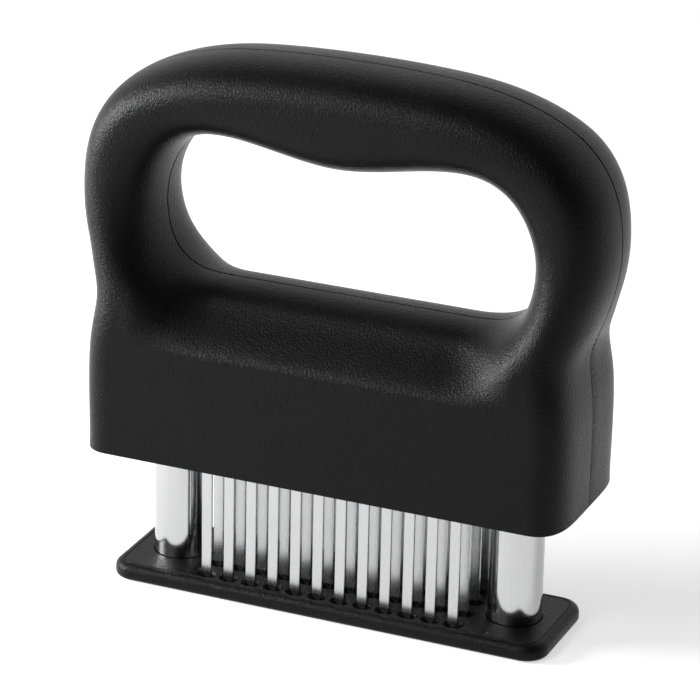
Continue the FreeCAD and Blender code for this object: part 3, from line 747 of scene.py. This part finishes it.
def makeWorld():
    world = bpy.data.worlds.new("whiteRoom")
    world.use_nodes = True
    tree = world.node_tree
    glow = tree.nodes["Background"]
    glow.inputs["Color"].default_value = (1, 1, 1, 1)
    seen = whiteToTheEye(tree)
    strength = mathNode(tree, "ADD", mathNode(tree, "MULTIPLY", seen, 1 - studio["fillStrength"]),
                        studio["fillStrength"])
    # mirror rays alone meet a dark wall at one side and a dark ceiling
    direction = tree.nodes.new("ShaderNodeTexCoord").outputs["Generated"]
    mirrorRay = tree.nodes.new("ShaderNodeLightPath").outputs["Is Glossy Ray"]
    for wall in studio["darkWalls"].values():
        toward = tree.nodes.new("ShaderNodeVectorMath")
        toward.operation = "DOT_PRODUCT"
        tree.links.new(direction, toward.inputs[0])
        toward.inputs[1].default_value = Vector(wall["toward"]).normalized()
        fade = tree.nodes.new("ShaderNodeMapRange")
        fade.interpolation_type = "SMOOTHSTEP"
        for label, value in (("From Min", wall["from"]), ("From Max", wall["to"]),
                             ("To Min", 0), ("To Max", 1 - studio["darkLevel"])):
            fade.inputs[label].default_value = value
        tree.links.new(toward.outputs["Value"], fade.inputs["Value"])
        dark = mathNode(tree, "MULTIPLY", fade.outputs[0], mirrorRay)
        strength = mathNode(tree, "MULTIPLY", strength, mathNode(tree, "SUBTRACT", 1, dark))
    tree.links.new(strength, glow.inputs["Strength"])
    bpy.context.scene.world = world


def makeFloor():
    s = studio["floorHalf"]
    floor = makeMesh("floor", [(-s, -s, 0), (s, -s, 0), (s, s, 0), (-s, s, 0)], [[0, 1, 2, 3]])
    floor.data.transform(Matrix.Translation((0, 0, -studio["floorDrop"])))
    material, tree, surface = newMaterial("paleFloor")
    surface.inputs["Base Color"].default_value = (*studio["floorColour"], 1)
    surface.inputs["Roughness"].default_value = studio["floorRough"]
    surface.inputs["Emission Color"].default_value = (1, 1, 1, 1)
    glow = mathNode(tree, "MULTIPLY", whiteToTheEye(tree), studio["floorGlow"])
    tree.links.new(glow, surface.inputs["Emission Strength"])
    floor.data.materials.append(material)


def makeLamps():
    for name, lamp in studio["lamps"].items():
        light = bpy.data.lights.new(name, "AREA")
        light.shape = "DISK"
        light.size = lamp["size"]
        light.energy = lamp["power"]
        made = bpy.data.objects.new(name, light)
        bpy.context.scene.collection.objects.link(made)
        place = Vector(lamp["place"])
        made.matrix_world = Matrix.Translation(place) @ (
            Vector(studio["aim"]) - place).to_track_quat("-Z", "Y").to_matrix().to_4x4()


def makeCamera():
    s = studio
    a, e, lean = (math.radians(s[key]) for key in ("azimuth", "elevation", "lean"))
    back = Vector((math.sin(a) * math.cos(e), -math.cos(a) * math.cos(e), math.sin(e)))
    flatX = Vector((math.cos(a), math.sin(a), 0))
    flatY = back.cross(flatX)
    cameraX = flatX * math.cos(lean) + flatY * math.sin(lean)
    cameraY = flatY * math.cos(lean) - flatX * math.sin(lean)
    camera = bpy.data.cameras.new("camera")
    camera.lens = s["lens"]
    camera.sensor_width = s["sensor"]
    camera.shift_x, camera.shift_y = s["shift"]
    camera.clip_start, camera.clip_end = s["clip"]
    made = bpy.data.objects.new("camera", camera)
    bpy.context.scene.collection.objects.link(made)
    turned = Matrix((cameraX, cameraY, back)).transposed().to_4x4()
    made.matrix_world = Matrix.Translation(Vector(s["aim"]) + back * s["distance"]) @ turned
    bpy.context.scene.camera = made


# everything put together

shells = makeHandleShells()
guardPlate = makeGuardPlate()
bladeRows = [makeBladeRow(i, y) for i, y in enumerate(bladePlaces()[1], start=1)]
print("blades made")
guideTubes = [makeTube(side) for side in sides]
returnSprings = [makeSpring(side) for side in sides]
print("tubes and springs made")

grainGroup, linesGroup = makeSparkGrain(), makeDrawnLines()
finishes = {name: makePlastic(name, grainGroup) for name in plastics}
finishes.update({name: makeSteel(name, linesGroup) for name in steels})
for pieces, finish in ((shells, "handleBlack"), ([guardPlate], "guardBlack"),
                       (bladeRows, "bladeSteel"), (guideTubes, "tubeSteel"),
                       (returnSprings, "springSteel")):
    for piece in pieces:
        piece.data.materials.clear()
        piece.data.materials.append(finishes[finish])
nodeFinishes = {
    "front_shell": "handleBlack", "rear_shell": "handleBlack", "guard_plate": "guardBlack",
    "blade_holder": "holderBlack", "blade_clamp": "holderBlack", "clamp_screws": "screwSteel",
    "blade_pins": "screwSteel", "plate_screws": "screwSteel",
    "blade_row_1": "bladeSteel", "blade_row_2": "bladeSteel",
    "blade_row_3": "bladeSteel", "blade_row_4": "bladeSteel",
}
for side in sides:
    nodeFinishes.update({
        side + "_guide_tube": "tubeSteel", side + "_stop_ring": "tubeSteel",
        side + "_tube_plug": "holderBlack", side + "_guide_bush": "bushPlastic",
        side + "_spring_post": "holderBlack", side + "_return_spring": "springSteel"})
for node, finish in nodeFinishes.items():
    dress(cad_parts[node], finishes[finish])
print("materials given")

makeWorld()
makeFloor()
makeLamps()
makeCamera()
bpy.context.scene.view_settings.view_transform = "Standard"
print("studio set")
